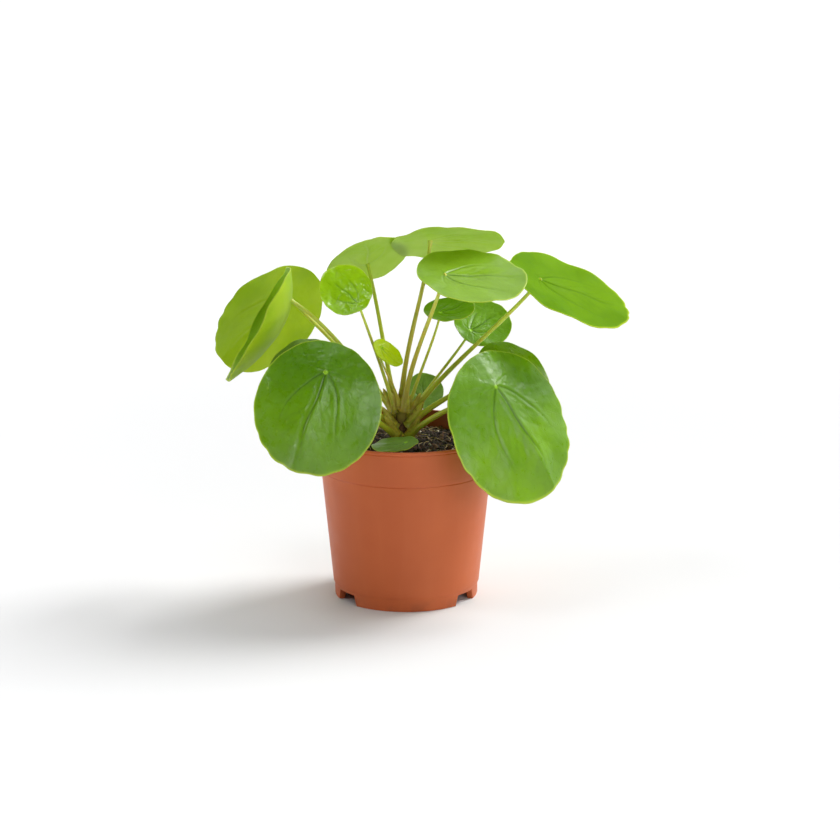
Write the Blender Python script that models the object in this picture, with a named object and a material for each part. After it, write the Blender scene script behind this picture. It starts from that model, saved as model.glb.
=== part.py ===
"""Potted pilea: a nursery pot, its soil, a short stem, and round leaves on long petioles.

Lengths in the tables are millimetres and angles are degrees. X is to the right, Y is to the back
and Z is up. Places are measured from the middle of the pot's underside, and the finished plant is
then moved so that the middle of its footprint is the origin.
"""

from math import atan2, cos, pi, radians, sin, sqrt
from random import Random
from typing import NamedTuple

import bmesh
import bpy
from mathutils import Vector

MM = 0.001
GAP = 0.3                       # air between pieces that touch on the real plant

# Pot
RIM_RADIUS = 60.0
POT_HEIGHT = 111.0
BASE_RADIUS = 47.5
BAND_HEIGHT = 24.0              # the straight band under the rim
BAND_STEP = 0.7                 # how far the band stands out from the wall below it
BAND_TAPER = 2.4                # how much the band narrows on its way down
BEAD_HEIGHT = 2.2
BEAD_OUT = 0.5
BEAD_ROUND = 0.5
STEP_DROP = 0.6                 # height over which the band steps in to the wall
WALL = 1.2
FLOOR_UNDERSIDE = 7.5
FLOOR_THICK = 1.5
FOOT_WIDTH = 4.0
FOOT_SLOPE = 0.6
INNER_STEP = POT_HEIGHT - BAND_HEIGHT - 1.0      # height where the inside steps out
CUT_PAST = 3.0                  # how far guide solids run past what they cut
NOTCH_ANGLES = (-33.75, 33.75, 146.25, 213.75)
NOTCH_SPAN = 22.5
NOTCH_HEIGHT = 6.8
NOTCH_SLANT = 2.0               # degrees that each end of a notch leans in by
DRAIN_HOLES = 8
DRAIN_RADIUS = 4.0
DRAIN_RING = 29.0
POT_SIDES = 56

# Soil
SOIL_AT_WALL = 100.0
SOIL_AT_STEM = 103.5
SOIL_LUMP = 0.8
SOIL_SIDES = 48
SOIL_RINGS = (12.0, 22.0, 32.0, 42.0, 50.0)

# Stem
STEM_X = -3.0
STEM_FOOT = 92.0
STEM_TOP = 130.5
STEM_RADIUS = 3.6
STEM_TIP_RADIUS = 2.7           # the stem thins between these two heights
STEM_THINS_FROM = 112.0
STEM_KNOB = 0.45                # height of the rings left by old leaves
STEM_KNOBS = 6
STEM_SIDES = 16
STEM_LEVELS = 18

# Blades and petioles
BLADE_THICK = 0.9
BLADE_SPOKES = 24
BLADE_RINGS = (0.28, 0.55, 0.8, 1.0)
MARGIN_THICK = 0.6              # share of the blade's thickness left at its edge
FOLD_ROUND = 3.0                # radius of the crease along a folded blade
PETIOLE_POINTS = 12
PETIOLE_TAPER = 0.66            # tip radius as a share of the radius low down
BASE_FLARE = 1.2
FLARE_LENGTH = 0.12             # share of the petiole that its flare takes up
BLADE_WIDTH = 0.95              # width of a blade as a share of its length
LEAVING_PULL = 0.3              # share of its reach that a petiole keeps its first direction
ARRIVING_PULL = 0.25
ARRIVING_SQUARE = 0.8           # how squarely a petiole meets its blade


class Leaf(NamedTuple):
    """One leaf: where its petiole meets the blade, and how the blade is held."""
    name: str
    navel: tuple                # x, y, z of the attachment
    length: float
    facing: float               # compass direction the upper side leans to; -90 is the front
    tilt: float                 # 0 lies flat, 90 stands upright
    turn: float                 # direction of the far end, measured round from straight downhill
    offset: float = 0.27        # attachment's distance from the near end, as a share of the length
    cup: float = 0.0            # rise of the edge above the middle; negative is a dome
    fold: float = 0.0           # angle that each half is folded up by
    base: float = 120.0         # height of the petiole's foot on the stem
    lean: float = 45.0          # steepness at which the petiole leaves the stem
    girth: float = 1.7          # radius of the petiole low down
    foot: float = None          # side of the stem that it grows from; None faces the navel


LEAVES = (
    Leaf("back_left", (-81, 76, 187), 87, 122, 64, 40, cup=-3, base=121, lean=44),
    Leaf("folded_left", (-76, 14, 195), 81, 180, 81, 0, cup=16, fold=5, base=124, lean=52),
    Leaf("small_glossy", (-31, -15, 200), 36, -105, 48, -130, offset=0.17, cup=3, base=126,
         lean=74, girth=1.2),
    Leaf("upper_back", (-26, 50, 213), 61, 116, 45, 154, offset=0.3, cup=-3, base=128, lean=76,
         girth=1.6, foot=142),
    Leaf("top", (16, 30, 233), 76, 97, 28, -97, offset=0.35, cup=-2, base=128, lean=86, girth=1.7,
         foot=88),
    Leaf("upper_middle", (25, -22, 220), 72, -60, 20, 70, offset=0.25, cup=2, base=128, lean=82,
         girth=1.7, foot=-70),
    Leaf("right", (88, 12, 210), 88, -26, 31, 39, offset=0.25, cup=2, base=121, lean=55,
         foot=8),
    Leaf("small_behind", (22.5, 6, 189), 34, -80, 14, 112, offset=0.3, cup=2, base=124, lean=70,
         girth=1.1, foot=38),
    Leaf("round_middle", (43, 38, 170), 40, -65, 39, 112, offset=0.22, cup=2, base=117, lean=54,
         girth=1.2),
    Leaf("youngest", (-16, -14, 170), 23, -34, 55, 0, cup=3, base=129, lean=82, girth=0.8,
         foot=-112),
    Leaf("front_left", (-51, -55, 163), 88, -95, 65, -15, offset=0.25, cup=-6, base=109, lean=32,
         girth=1.9),
    Leaf("behind_front_left", (-59, -24, 165), 49, -110, 45, -50, cup=-2, base=115, lean=38),
    Leaf("front_right", (58, -48, 152), 103, -53, 60, 20, offset=0.24, cup=-7, base=108, lean=46,
         girth=1.9),
    Leaf("behind_front_right", (66, -5, 161), 56, -60, 40, 0, cup=-3, base=116, lean=46,
         girth=1.9, foot=-22),
    Leaf("behind_stem", (12, 35, 123.5), 28, -90, 40, 180, offset=0.3, cup=2, base=108, lean=25,
         girth=1.1),
    Leaf("low_front", (0, -30, 110), 31, -158, 11, -20, cup=1, base=106, lean=2, girth=1.0,
         foot=-85),
)


def polar(radius, angle, height):
    """A point at an angle in radians round the Z axis."""
    return Vector((radius * cos(angle), radius * sin(angle), height))


def finish_material(name, colour, roughness, metallic=0.0):
    """A Principled material."""
    material = bpy.data.materials.new(name)
    material.use_nodes = True
    shader = material.node_tree.nodes["Principled BSDF"]
    shader.inputs["Base Color"].default_value = (*colour, 1.0)
    shader.inputs["Roughness"].default_value = roughness
    shader.inputs["Metallic"].default_value = metallic
    material.diffuse_color = (*colour, 1.0)
    return material


def add_object(name, data, material):
    """Put one sub-part in the scene."""
    piece = bpy.data.objects.new(name, data)
    bpy.context.scene.collection.objects.link(piece)
    data.materials.append(material)
    return piece


def mesh_from(bm, name, crease_angle=40.0):
    """Close off a bmesh that is in millimetres as a smooth-shaded mesh in metres."""
    bmesh.ops.scale(bm, vec=(MM, MM, MM), verts=bm.verts)
    bmesh.ops.recalc_face_normals(bm, faces=bm.faces)
    mesh = bpy.data.meshes.new(name)
    bm.to_mesh(mesh)
    bm.free()
    mesh.shade_smooth()
    mesh.set_sharp_from_angle(angle=radians(crease_angle))
    return mesh


def turned(profile, sides):
    """Spin a profile of (radius, height), whose two ends lie on the axis, into a closed solid."""
    bm = bmesh.new()
    rows = []
    for radius, height in profile:
        if radius == 0.0:
            rows.append([bm.verts.new((0.0, 0.0, height))])
        else:
            rows.append([bm.verts.new(polar(radius, 2 * pi * k / sides, height))
                         for k in range(sides)])
    skin_rows(bm, rows, sides)
    return bm


def skin_rows(bm, rows, sides):
    """Join rings of vertices, or single poles, with faces."""
    for first, second in zip(rows, rows[1:]):
        for k in range(sides):
            nxt = (k + 1) % sides
            corners = [first[k % len(first)], first[nxt % len(first)],
                       second[nxt % len(second)], second[k % len(second)]]
            bm.faces.new(list(dict.fromkeys(corners)))


def cut(piece, cutters):
    """Subtract guide solids from a piece."""
    for cutter in cutters:
        cutter.hide_render = True
        cutter.display_type = "WIRE"
        boolean = piece.modifiers.new(cutter.name, "BOOLEAN")
        boolean.operation = "DIFFERENCE"
        boolean.solver = "EXACT"
        boolean.object = cutter


def band_radius(height):
    """Outer radius of the pot's band."""
    return RIM_RADIUS - BEAD_OUT - BAND_TAPER * (POT_HEIGHT - height) / BAND_HEIGHT


def wall_radius(height):
    """Outer radius of the tapering wall below the band."""
    top = POT_HEIGHT - BAND_HEIGHT
    top_radius = band_radius(top) - BAND_STEP
    return BASE_RADIUS + (top_radius - BASE_RADIUS) * height / top


def pot_profile():
    """The pot's outline, from the middle of the underside, round the wall, to the floor inside."""
    band_foot = POT_HEIGHT - BAND_HEIGHT
    bead_foot = POT_HEIGHT - BEAD_HEIGHT
    floor_top = FLOOR_UNDERSIDE + FLOOR_THICK
    return [
        (0.0, FLOOR_UNDERSIDE),
        (BASE_RADIUS - FOOT_WIDTH - FOOT_SLOPE, FLOOR_UNDERSIDE),
        (BASE_RADIUS - FOOT_WIDTH, 0.0),
        (BASE_RADIUS, 0.0),
        (wall_radius(band_foot - STEP_DROP), band_foot - STEP_DROP),
        (band_radius(band_foot), band_foot),
        (band_radius(bead_foot), bead_foot),
        (RIM_RADIUS, bead_foot + BEAD_ROUND),
        (RIM_RADIUS, POT_HEIGHT - BEAD_ROUND),
        (RIM_RADIUS - BEAD_ROUND, POT_HEIGHT),
        (band_radius(POT_HEIGHT) - WALL, POT_HEIGHT),
        (inner_radius(INNER_STEP), INNER_STEP),
        (inner_radius(floor_top), floor_top),
        (0.0, floor_top),
    ]


def inner_radius(height):
    """Radius of the pot's inside at a height."""
    floor_top = FLOOR_UNDERSIDE + FLOOR_THICK
    low = wall_radius(floor_top) - WALL
    middle = band_radius(POT_HEIGHT - BAND_HEIGHT) - BAND_STEP - WALL
    top = band_radius(POT_HEIGHT) - WALL
    if height < INNER_STEP:
        return low + (middle - low) * (height - floor_top) / (INNER_STEP - floor_top)
    return middle + (top - middle) * (height - INNER_STEP) / (POT_HEIGHT - INNER_STEP)


def notch_cutter(index, middle):
    """A wedge with slanted ends that lifts the foot ring off the ground."""
    bm = bmesh.new()
    rows = []
    for radius in (BASE_RADIUS - FOOT_WIDTH - CUT_PAST, BASE_RADIUS + CUT_PAST):
        for height, half in ((-CUT_PAST, NOTCH_SPAN / 2 + NOTCH_SLANT),
                             (NOTCH_HEIGHT, NOTCH_SPAN / 2 - NOTCH_SLANT)):
            steps = [middle + half * (k / 3 - 1) for k in range(7)]
            rows.append([bm.verts.new(polar(radius, radians(step), height)) for step in steps])
    inner_low, inner_high, outer_low, outer_high = rows
    loop = [inner_low, inner_high, outer_high, outer_low]
    for first, second in zip(loop, loop[1:] + loop[:1]):
        for k in range(6):
            bm.faces.new((first[k], first[k + 1], second[k + 1], second[k]))
    bm.faces.new([row[0] for row in loop])
    bm.faces.new([row[-1] for row in loop])
    mesh = mesh_from(bm, f"notch_guide_{index}")
    cutter = bpy.data.objects.new(f"notch_guide_{index}", mesh)
    bpy.context.scene.collection.objects.link(cutter)
    return cutter


def round_cutter(name, radius, place, low, high, sides=16):
    """An upright round guide solid."""
    bm = turned([(0.0, low), (radius, low), (radius, high), (0.0, high)], sides)
    bmesh.ops.translate(bm, vec=place, verts=bm.verts)
    cutter = bpy.data.objects.new(name, mesh_from(bm, name))
    bpy.context.scene.collection.objects.link(cutter)
    return cutter


def make_pot():
    """The nursery pot."""
    plastic = finish_material("pot_plastic", (0.47, 0.12, 0.055), 0.45)
    pot = add_object("pot", mesh_from(turned(pot_profile(), POT_SIDES), "pot", 25.0), plastic)
    guides = [notch_cutter(index, angle) for index, angle in enumerate(NOTCH_ANGLES)]
    for k in range(DRAIN_HOLES):
        place = polar(DRAIN_RING, 2 * pi * (k + 0.5) / DRAIN_HOLES, 0.0)
        guides.append(round_cutter(f"drain_guide_{k}", DRAIN_RADIUS, place,
                                   FLOOR_UNDERSIDE - CUT_PAST,
                                   FLOOR_UNDERSIDE + FLOOR_THICK + CUT_PAST))
    cut(pot, guides)


def make_soil():
    """The root ball, with a lumpy mound on top and a socket for the stem."""
    low = FLOOR_UNDERSIDE + FLOOR_THICK + GAP
    edge = inner_radius(SOIL_AT_WALL) - GAP
    profile = [(0.0, low), (inner_radius(low) - GAP, low),
               (inner_radius(INNER_STEP) - GAP, INNER_STEP), (edge, SOIL_AT_WALL)]
    for radius in reversed(SOIL_RINGS):
        fall = (radius / edge) ** 2
        profile.append((radius, SOIL_AT_STEM + (SOIL_AT_WALL - SOIL_AT_STEM) * fall))
    profile.append((0.0, SOIL_AT_STEM))
    bm = turned(profile, SOIL_SIDES)
    rng = Random(7)
    for vert in bm.verts:
        if vert.co.z > SOIL_AT_WALL + 0.1:
            vert.co.z += rng.uniform(-SOIL_LUMP, SOIL_LUMP)
    mix = finish_material("soil_mix", (0.035, 0.022, 0.012), 0.95)
    soil = add_object("soil", mesh_from(bm, "soil"), mix)
    socket = round_cutter("stem_guide", STEM_RADIUS + STEM_KNOB + GAP, Vector((STEM_X, 0.0, 0.0)),
                          STEM_FOOT - GAP, STEM_TOP, STEM_SIDES)
    cut(soil, [socket])


def stem_radius(height):
    """Radius of the stem between its knobs."""
    share = min(1.0, max(0.0, (height - STEM_THINS_FROM) / (STEM_TOP - STEM_THINS_FROM)))
    return STEM_RADIUS + (STEM_TIP_RADIUS - STEM_RADIUS) * share


def make_stem():
    """The short stem, ringed where old leaves have dropped."""
    profile = [(0.0, STEM_FOOT)]
    for k in range(STEM_LEVELS + 1):
        share = k / STEM_LEVELS
        knob = STEM_KNOB * (0.5 - 0.5 * cos(2 * pi * STEM_KNOBS * share))
        dome = sqrt(1.0 - max(0.0, (share - 0.9) / 0.1) ** 2 * 0.75)
        height = STEM_FOOT + (STEM_TOP - STEM_FOOT) * share
        profile.append(((stem_radius(height) + knob) * dome, height))
    profile.append((0.0, STEM_TOP + 0.6))
    bm = turned(profile, STEM_SIDES)
    bmesh.ops.translate(bm, vec=(STEM_X, 0.0, 0.0), verts=bm.verts)
    bark = finish_material("stem_bark", (0.10, 0.055, 0.022), 0.8)
    add_object("main_stem", mesh_from(bm, "main_stem"), bark)


def leaf_axes(leaf):
    """Directions of the blade's far end, its side and its upper face."""
    facing, tilt, turn = radians(leaf.facing), radians(leaf.tilt), radians(leaf.turn)
    upper = Vector((sin(tilt) * cos(facing), sin(tilt) * sin(facing), cos(tilt)))
    downhill = Vector((cos(tilt) * cos(facing), cos(tilt) * sin(facing), -sin(tilt)))
    along = cos(turn) * downhill + sin(turn) * upper.cross(downhill)
    return along, upper.cross(along), upper


def blade_point(leaf, angle, share):
    """A point of the blade's middle surface, as lengths along, across and above the navel."""
    half = leaf.length / 2
    width = BLADE_WIDTH * half
    middle = (0.5 - leaf.offset) * leaf.length
    along = (middle + half * cos(angle)) * share
    across = width * sin(angle) * share
    rise = leaf.cup * ((along / half) ** 2 + (across / half) ** 2)
    fold = radians(leaf.fold)
    rise += (sqrt(across ** 2 + FOLD_ROUND ** 2) - FOLD_ROUND) * sin(fold)
    return along, across * cos(fold), rise


def make_blade(leaf, material):
    """A thin closed disc, built as rings round the navel on its upper and lower faces."""
    along, side, upper = leaf_axes(leaf)
    bm = bmesh.new()

    def place(angle, share, level):
        u, v, w = blade_point(leaf, angle, share)
        step = 0.02
        du = Vector(blade_point(leaf, angle, share + step)) - Vector((u, v, w))
        dv = Vector(blade_point(leaf, angle + step, max(share, 0.2))) \
            - Vector(blade_point(leaf, angle, max(share, 0.2)))
        normal = du.cross(dv).normalized()
        if normal.z < 0:
            normal.negate()
        thick = BLADE_THICK * (1.0 - (1.0 - MARGIN_THICK) * share)
        spot = Vector((u, v, w)) + normal * level * thick / 2
        return Vector(leaf.navel) + along * spot.x + side * spot.y + upper * spot.z

    rows = [[bm.verts.new(Vector(leaf.navel) + upper * BLADE_THICK / 2)]]
    for level, shares in ((1, BLADE_RINGS), (-1, reversed(BLADE_RINGS))):
        for share in shares:
            rows.append([bm.verts.new(place(2 * pi * k / BLADE_SPOKES, share, level))
                         for k in range(BLADE_SPOKES)])
    rows.append([bm.verts.new(Vector(leaf.navel) - upper * BLADE_THICK / 2)])
    skin_rows(bm, rows, BLADE_SPOKES)
    add_object(f"leaf_{leaf.name}", mesh_from(bm, f"leaf_{leaf.name}", 60.0), material)


def petiole_route(leaf):
    """Centre line of a petiole, from the side of the stem to the underside of the blade."""
    upper = leaf_axes(leaf)[2]
    navel = Vector(leaf.navel)
    heading = atan2(navel.y, navel.x - STEM_X) if leaf.foot is None else radians(leaf.foot)
    lean = radians(leaf.lean)
    clear = STEM_KNOB + 2 * GAP + leaf.girth * BASE_FLARE * sin(lean)
    start_radius = stem_radius(leaf.base) + clear
    start = polar(start_radius, heading, leaf.base) + Vector((STEM_X, 0.0, 0.0))
    leaving = polar(cos(lean), heading, sin(lean))
    reach = (navel - start).length
    chord = (navel - start).normalized()
    arriving = (chord + ARRIVING_SQUARE * upper).normalized()
    slope = sqrt(max(0.0, 1.0 - arriving.dot(upper) ** 2))
    clear = BLADE_THICK / 2 + 2 * GAP + leaf.girth * PETIOLE_TAPER * slope
    end = navel - upper * clear
    first = start + leaving * reach * LEAVING_PULL
    second = end - arriving * reach * ARRIVING_PULL
    points = []
    for k in range(PETIOLE_POINTS):
        t = k / (PETIOLE_POINTS - 1)
        points.append(start * (1 - t) ** 3 + first * 3 * t * (1 - t) ** 2
                      + second * 3 * t ** 2 * (1 - t) + end * t ** 3)
    return points


def make_petiole(leaf, material):
    """A tapering stalk that flares at its foot."""
    curve = bpy.data.curves.new(f"petiole_{leaf.name}", "CURVE")
    curve.dimensions = "3D"
    curve.bevel_depth = leaf.girth * MM
    curve.bevel_resolution = 2
    curve.use_fill_caps = True
    curve.twist_mode = "MINIMUM"
    route = petiole_route(leaf)
    spline = curve.splines.new("POLY")
    spline.points.add(len(route) - 1)
    for k, (point, spot) in enumerate(zip(spline.points, route)):
        share = k / (len(route) - 1)
        point.co = (*(spot * MM), 1.0)
        flare = (BASE_FLARE - 1.0) * max(0.0, 1.0 - share / FLARE_LENGTH)
        point.radius = 1.0 - (1.0 - PETIOLE_TAPER) * share + flare
    add_object(f"petiole_{leaf.name}", curve, material)


def centre_on_footprint():
    """Move the plant so that the middle of its footprint is the origin."""
    graph = bpy.context.evaluated_depsgraph_get()
    corners = []
    for piece in bpy.context.scene.objects:
        if not piece.hide_render:
            mesh = piece.evaluated_get(graph).to_mesh()
            corners += [piece.matrix_world @ vert.co for vert in mesh.vertices]
            piece.evaluated_get(graph).to_mesh_clear()
    middle = [(min(c[i] for c in corners) + max(c[i] for c in corners)) / 2 for i in (0, 1)]
    for piece in bpy.context.scene.objects:
        piece.location.x -= middle[0]
        piece.location.y -= middle[1]


def main():
    for old in list(bpy.data.objects):
        bpy.data.objects.remove(old)
    make_pot()
    make_soil()
    make_stem()
    leaf_green = finish_material("leaf_green", (0.16, 0.30, 0.03), 0.35)
    stalk_green = finish_material("petiole_green", (0.25, 0.30, 0.06), 0.45)
    for leaf in LEAVES:
        make_blade(leaf, leaf_green)
        make_petiole(leaf, stalk_green)
    centre_on_footprint()


main()
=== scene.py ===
# %% [markdown]
# # A potted pilea
# The plant is a handful of thin round blades on long stalks, growing from a short woody stem in a
# moulded nursery pot. Places and main sizes are read from the fixed frame, so each finer piece lies
# where the plain solid it stands for lies.

# %% The frame
from math import cos, pi, radians, sin, sqrt, tau

import bmesh
import bpy
import numpy as np
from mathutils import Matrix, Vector, noise
from numpy.linalg import norm


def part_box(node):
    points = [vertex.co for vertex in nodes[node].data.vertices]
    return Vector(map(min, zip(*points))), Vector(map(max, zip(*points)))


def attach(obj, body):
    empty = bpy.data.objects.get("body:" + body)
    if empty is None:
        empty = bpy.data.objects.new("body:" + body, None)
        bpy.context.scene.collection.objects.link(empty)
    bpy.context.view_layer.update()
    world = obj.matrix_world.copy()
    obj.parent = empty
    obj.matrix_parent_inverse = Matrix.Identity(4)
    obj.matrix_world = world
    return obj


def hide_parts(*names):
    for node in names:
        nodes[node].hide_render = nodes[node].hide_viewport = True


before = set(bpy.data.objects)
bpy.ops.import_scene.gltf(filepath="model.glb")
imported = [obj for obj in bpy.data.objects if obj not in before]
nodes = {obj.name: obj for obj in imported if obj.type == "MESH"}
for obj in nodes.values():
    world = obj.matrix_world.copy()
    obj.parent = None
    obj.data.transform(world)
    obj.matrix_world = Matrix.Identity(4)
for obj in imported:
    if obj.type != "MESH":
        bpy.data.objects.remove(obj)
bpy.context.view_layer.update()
MM = 0.001
blade_nodes = sorted(name for name in nodes if name.startswith("leaf_"))
stalk_nodes = sorted(name for name in nodes if name.startswith("petiole_"))
print("blades:", len(blade_nodes), "stalks:", len(stalk_nodes))

# %% [markdown]
# ## The pot's own middle
# The origin is the middle of the leaves' spread, so the pot stands a little to one side of it. A
# turned piece needs its axis, and the pot is round, so its box gives the axis, height and radius.

# %% Pot measures
pot_low, pot_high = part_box("pot")
axis_x = (pot_low.x + pot_high.x) / 2
axis_y = (pot_low.y + pot_high.y) / 2
pot_height = pot_high.z
rim_radius = (pot_high.x - pot_low.x) / 2
print("pot axis", round(axis_x, 4), round(axis_y, 4), "rim radius", round(rim_radius, 4))

# %% [markdown]
# ## Camera
# A long lens from a couple of metres keeps the pot's sides almost straight. It looks down a little,
# so the soil shows behind the front of the rim.

# %% Camera
LOOK_DOWN = radians(14.0)
DISTANCE = 2.05
LENS = 133.0
AIM_RIGHT = 0.0092              # the picture's middle, from the pot's axis and from the floor
AIM_HEIGHT = 0.118
target = Vector((axis_x + AIM_RIGHT, axis_y, AIM_HEIGHT))
camera = bpy.data.objects.new("camera", bpy.data.cameras.new("camera"))
bpy.context.scene.collection.objects.link(camera)
camera.data.lens = LENS
camera.data.sensor_width = 36.0
camera.location = target + DISTANCE * Vector((0.0, -cos(LOOK_DOWN), sin(LOOK_DOWN)))
camera.rotation_euler = (target - camera.location).to_track_quat("-Z", "Y").to_euler()
bpy.context.scene.camera = camera

# %% [markdown]
# ## Small helpers for making meshes
# Blades, stalks, stem and pot are all rows of points joined by quads, so one helper skins them all.
# Another gathers many small skins into one mesh, and a third draws a smooth curve through points.

# %% Mesh helpers
def link(name, data, *materials):
    piece = bpy.data.objects.new(name, data)
    bpy.context.scene.collection.objects.link(piece)
    for material in materials:
        data.materials.append(material)
    return piece


def skin(name, rows, slots=None, smooth=True):
    """A closed mesh through rows of points; a row of one point is a pole."""
    rows = [np.atleast_2d(row) for row in rows]
    points = np.concatenate(rows)
    starts = np.cumsum([0] + [len(row) for row in rows])
    faces, marks = [], []
    for r in range(len(rows) - 1):
        a, b = starts[r], starts[r + 1]
        na, nb = starts[r + 1] - a, starts[r + 2] - b
        sides = max(na, nb)
        for k in range(sides):
            j = (k + 1) % sides
            ring = [a + k % na, a + j % na, b + j % nb, b + k % nb]
            faces.append(list(dict.fromkeys(int(i) for i in ring)))
            marks.append(slots[r] if slots else 0)
    mesh = bpy.data.meshes.new(name)
    mesh.from_pydata(points.tolist(), [], faces)
    mesh.polygons.foreach_set("material_index", marks)
    bm = bmesh.new()
    bm.from_mesh(mesh)
    bmesh.ops.recalc_face_normals(bm, faces=bm.faces)
    bm.to_mesh(mesh)
    bm.free()
    if smooth:
        mesh.shade_smooth()
    return mesh


def gather(name, skins):
    """One smooth mesh made of several closed skins."""
    points, faces = [], []
    for part in skins:
        start = len(points)
        points += [tuple(v.co) for v in part.vertices]
        faces += [[start + i for i in face.vertices] for face in part.polygons]
        bpy.data.meshes.remove(part)
    mesh = bpy.data.meshes.new(name)
    mesh.from_pydata(points, [], faces)
    mesh.shade_smooth()
    return mesh


def triangles(mesh):
    return sum(len(face.vertices) - 2 for face in mesh.polygons)


def cubic(a, b, c, d, t):
    """A smooth step from b to c, which heeds the points before and after them."""
    return 0.5 * (2 * b + (c - a) * t + (2 * a - 5 * b + 4 * c - d) * t ** 2
                  + (3 * b - 3 * c + d - a) * t ** 3)


def put(mesh, name, values):
    """Store a number or a vector at every point of a mesh, for the finish to read."""
    values = np.asarray(values, np.float32)
    kind, field = ("FLOAT", "value") if values.ndim == 1 else ("FLOAT_VECTOR", "vector")
    mesh.attributes.new(name, kind, "POINT").data.foreach_set(field, values.ravel())


# %% [markdown]
# ## Small helpers for node graphs
# Each finish is a little graph of nodes, and so are the strewn soil and the room. These helpers keep
# the graphs short enough to read: an input is given a socket to link or a constant to hold.

# %% Graph helpers
class Graph:
    """A tree of nodes under construction."""

    def __init__(self, tree):
        self.nodes = tree.nodes
        self.links = tree.links

    def node(self, kind, inputs=(), **settings):
        made = self.nodes.new(kind)
        for key, value in settings.items():
            setattr(made, key, value)
        for socket, value in dict(inputs).items():
            self.feed(made.inputs[socket], value)
        return made

    def feed(self, socket, value):
        if isinstance(value, bpy.types.NodeSocket):
            self.links.new(value, socket)
        elif socket.type == "RGBA":
            socket.default_value = (*value, 1.0)
        else:
            socket.default_value = value

    def band(self, value, low, high, start=0.0, end=1.0):
        made = self.node("ShaderNodeMapRange",
                         {"Value": value, "From Min": low, "From Max": high,
                          "To Min": start, "To Max": end}, interpolation_type="SMOOTHSTEP")
        return made.outputs["Result"]


class Finish(Graph):
    """A node material under construction."""

    def __init__(self, name, **settings):
        self.material = bpy.data.materials.new(name)
        self.material.use_nodes = True
        super().__init__(self.material.node_tree)
        self.shader = self.nodes["Principled BSDF"]
        for socket, value in settings.items():
            self.shader.inputs[socket.replace("_", " ")].default_value = value

    def place(self):
        return self.node("ShaderNodeTexCoord").outputs["Object"]

    def up(self, where):
        return self.node("ShaderNodeSeparateXYZ", {0: where}).outputs["Z"]

    def attribute(self, name, output="Fac"):
        return self.node("ShaderNodeAttribute", attribute_name=name).outputs[output]

    def noise(self, where, scale, detail=3.0, rough=0.55):
        made = self.node("ShaderNodeTexNoise",
                         {"Vector": where, "Scale": scale, "Detail": detail, "Roughness": rough})
        return made.outputs["Fac"]

    def cells(self, where, scale, feature):
        made = self.node("ShaderNodeTexVoronoi", {"Vector": where, "Scale": scale}, feature=feature)
        return made.outputs["Distance"]

    def math(self, operation, a, b):
        return self.node("ShaderNodeMath", {0: a, 1: b}, operation=operation).outputs[0]

    def times(self, a, b):
        return self.math("MULTIPLY", a, b)

    def mix(self, share, a, b):
        return self.node("ShaderNodeMix", {"Factor": share, 6: a, 7: b}, data_type="RGBA").outputs[2]

    def bump(self, height, distance, strength, under=None):
        made = self.node("ShaderNodeBump",
                         {"Height": height, "Distance": distance, "Strength": strength})
        if under:
            self.feed(made.inputs["Normal"], under)
        self.set("Normal", made.outputs["Normal"])
        return made.outputs["Normal"]

    def set(self, socket, value):
        self.feed(self.shader.inputs[socket], value)


# %% [markdown]
# ## Reading a blade back from the frame
# A plain blade is two sheets of rings round its navel, the point where the stalk joins. After its
# loose triangles are merged, walking outwards from the pole gives the upper rings in order, and
# walking on over the edge gives the lower ones. Their average is the blade's middle sheet.

# %% Blade reader
def merged(node):
    bm = bmesh.new()
    bm.from_mesh(nodes[node].data)
    bmesh.ops.remove_doubles(bm, verts=bm.verts, dist=1e-6)
    bm.verts.ensure_lookup_table()
    return bm


def walk_rings(start):
    """Vertices grouped by how many edges they lie from the start."""
    rings, seen, edge = [[start]], {start}, [start]
    while edge:
        step = []
        for vert in edge:
            for link_edge in vert.link_edges:
                other = link_edge.other_vert(vert)
                if other not in seen:
                    seen.add(other)
                    step.append(other)
        if step:
            rings.append(step)
        edge = step
    return rings


def blade_sheet(node):
    """Navel, axes and the middle sheet as a (ring, spoke) grid in blade coordinates."""
    bm = merged(node)
    poles = sorted(bm.verts, key=lambda v: -len(v.link_edges))[:2]
    pole = min(poles, key=lambda v: -v.normal.z)
    rings = walk_rings(pole)
    half = (len(rings) - 2) // 2
    navel = (poles[0].co + poles[1].co) / 2
    upper = (poles[0].co - poles[1].co).normalized()
    upper = upper if upper.dot(pole.co - navel) > 0 else -upper
    margin = [v.co for v in rings[half]]
    far = max(margin, key=lambda c: (c - navel).length)
    along = (far - navel) - upper * (far - navel).dot(upper)
    along.normalize()
    side = upper.cross(along)

    def spokes(ring):
        gaps = [v.co - navel for v in ring]
        local = [Vector((gap.dot(along), gap.dot(side), gap.dot(upper))) for gap in gaps]
        return sorted(local, key=lambda p: np.arctan2(p.y, p.x) % tau)

    sheet = []
    for k in range(1, half + 1):
        top = spokes(rings[k])
        under = spokes(rings[2 * half + 1 - k])
        sheet.append([(a + b) / 2 for a, b in zip(top, under)])
    bm.free()
    return navel, (along, side, upper), np.array(sheet)


sheets = {name: blade_sheet(name) for name in blade_nodes}
for name, (_, _, sheet) in sheets.items():
    print(name, "rings", sheet.shape[:2], "length mm", round(1000 * float(np.ptp(sheet[-1][:, 0])), 1))

# %% [markdown]
# ## A smooth sheet from a few points
# Smooth curves through the plain blade's points give a fine sheet of the same shape: a periodic
# curve round each ring, then a curve outwards along each spoke, which starts flat at the navel.

# %% Smooth sheet
def round_curve(ring, angles):
    """A periodic smooth curve through a ring's points."""
    count = len(ring)
    place = angles / tau * count
    k = np.floor(place).astype(int)
    t = (place - k)[:, None]
    a, b, c, d = (ring[(k + shift) % count] for shift in (-1, 0, 1, 2))
    return cubic(a, b, c, d, t)


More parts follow.
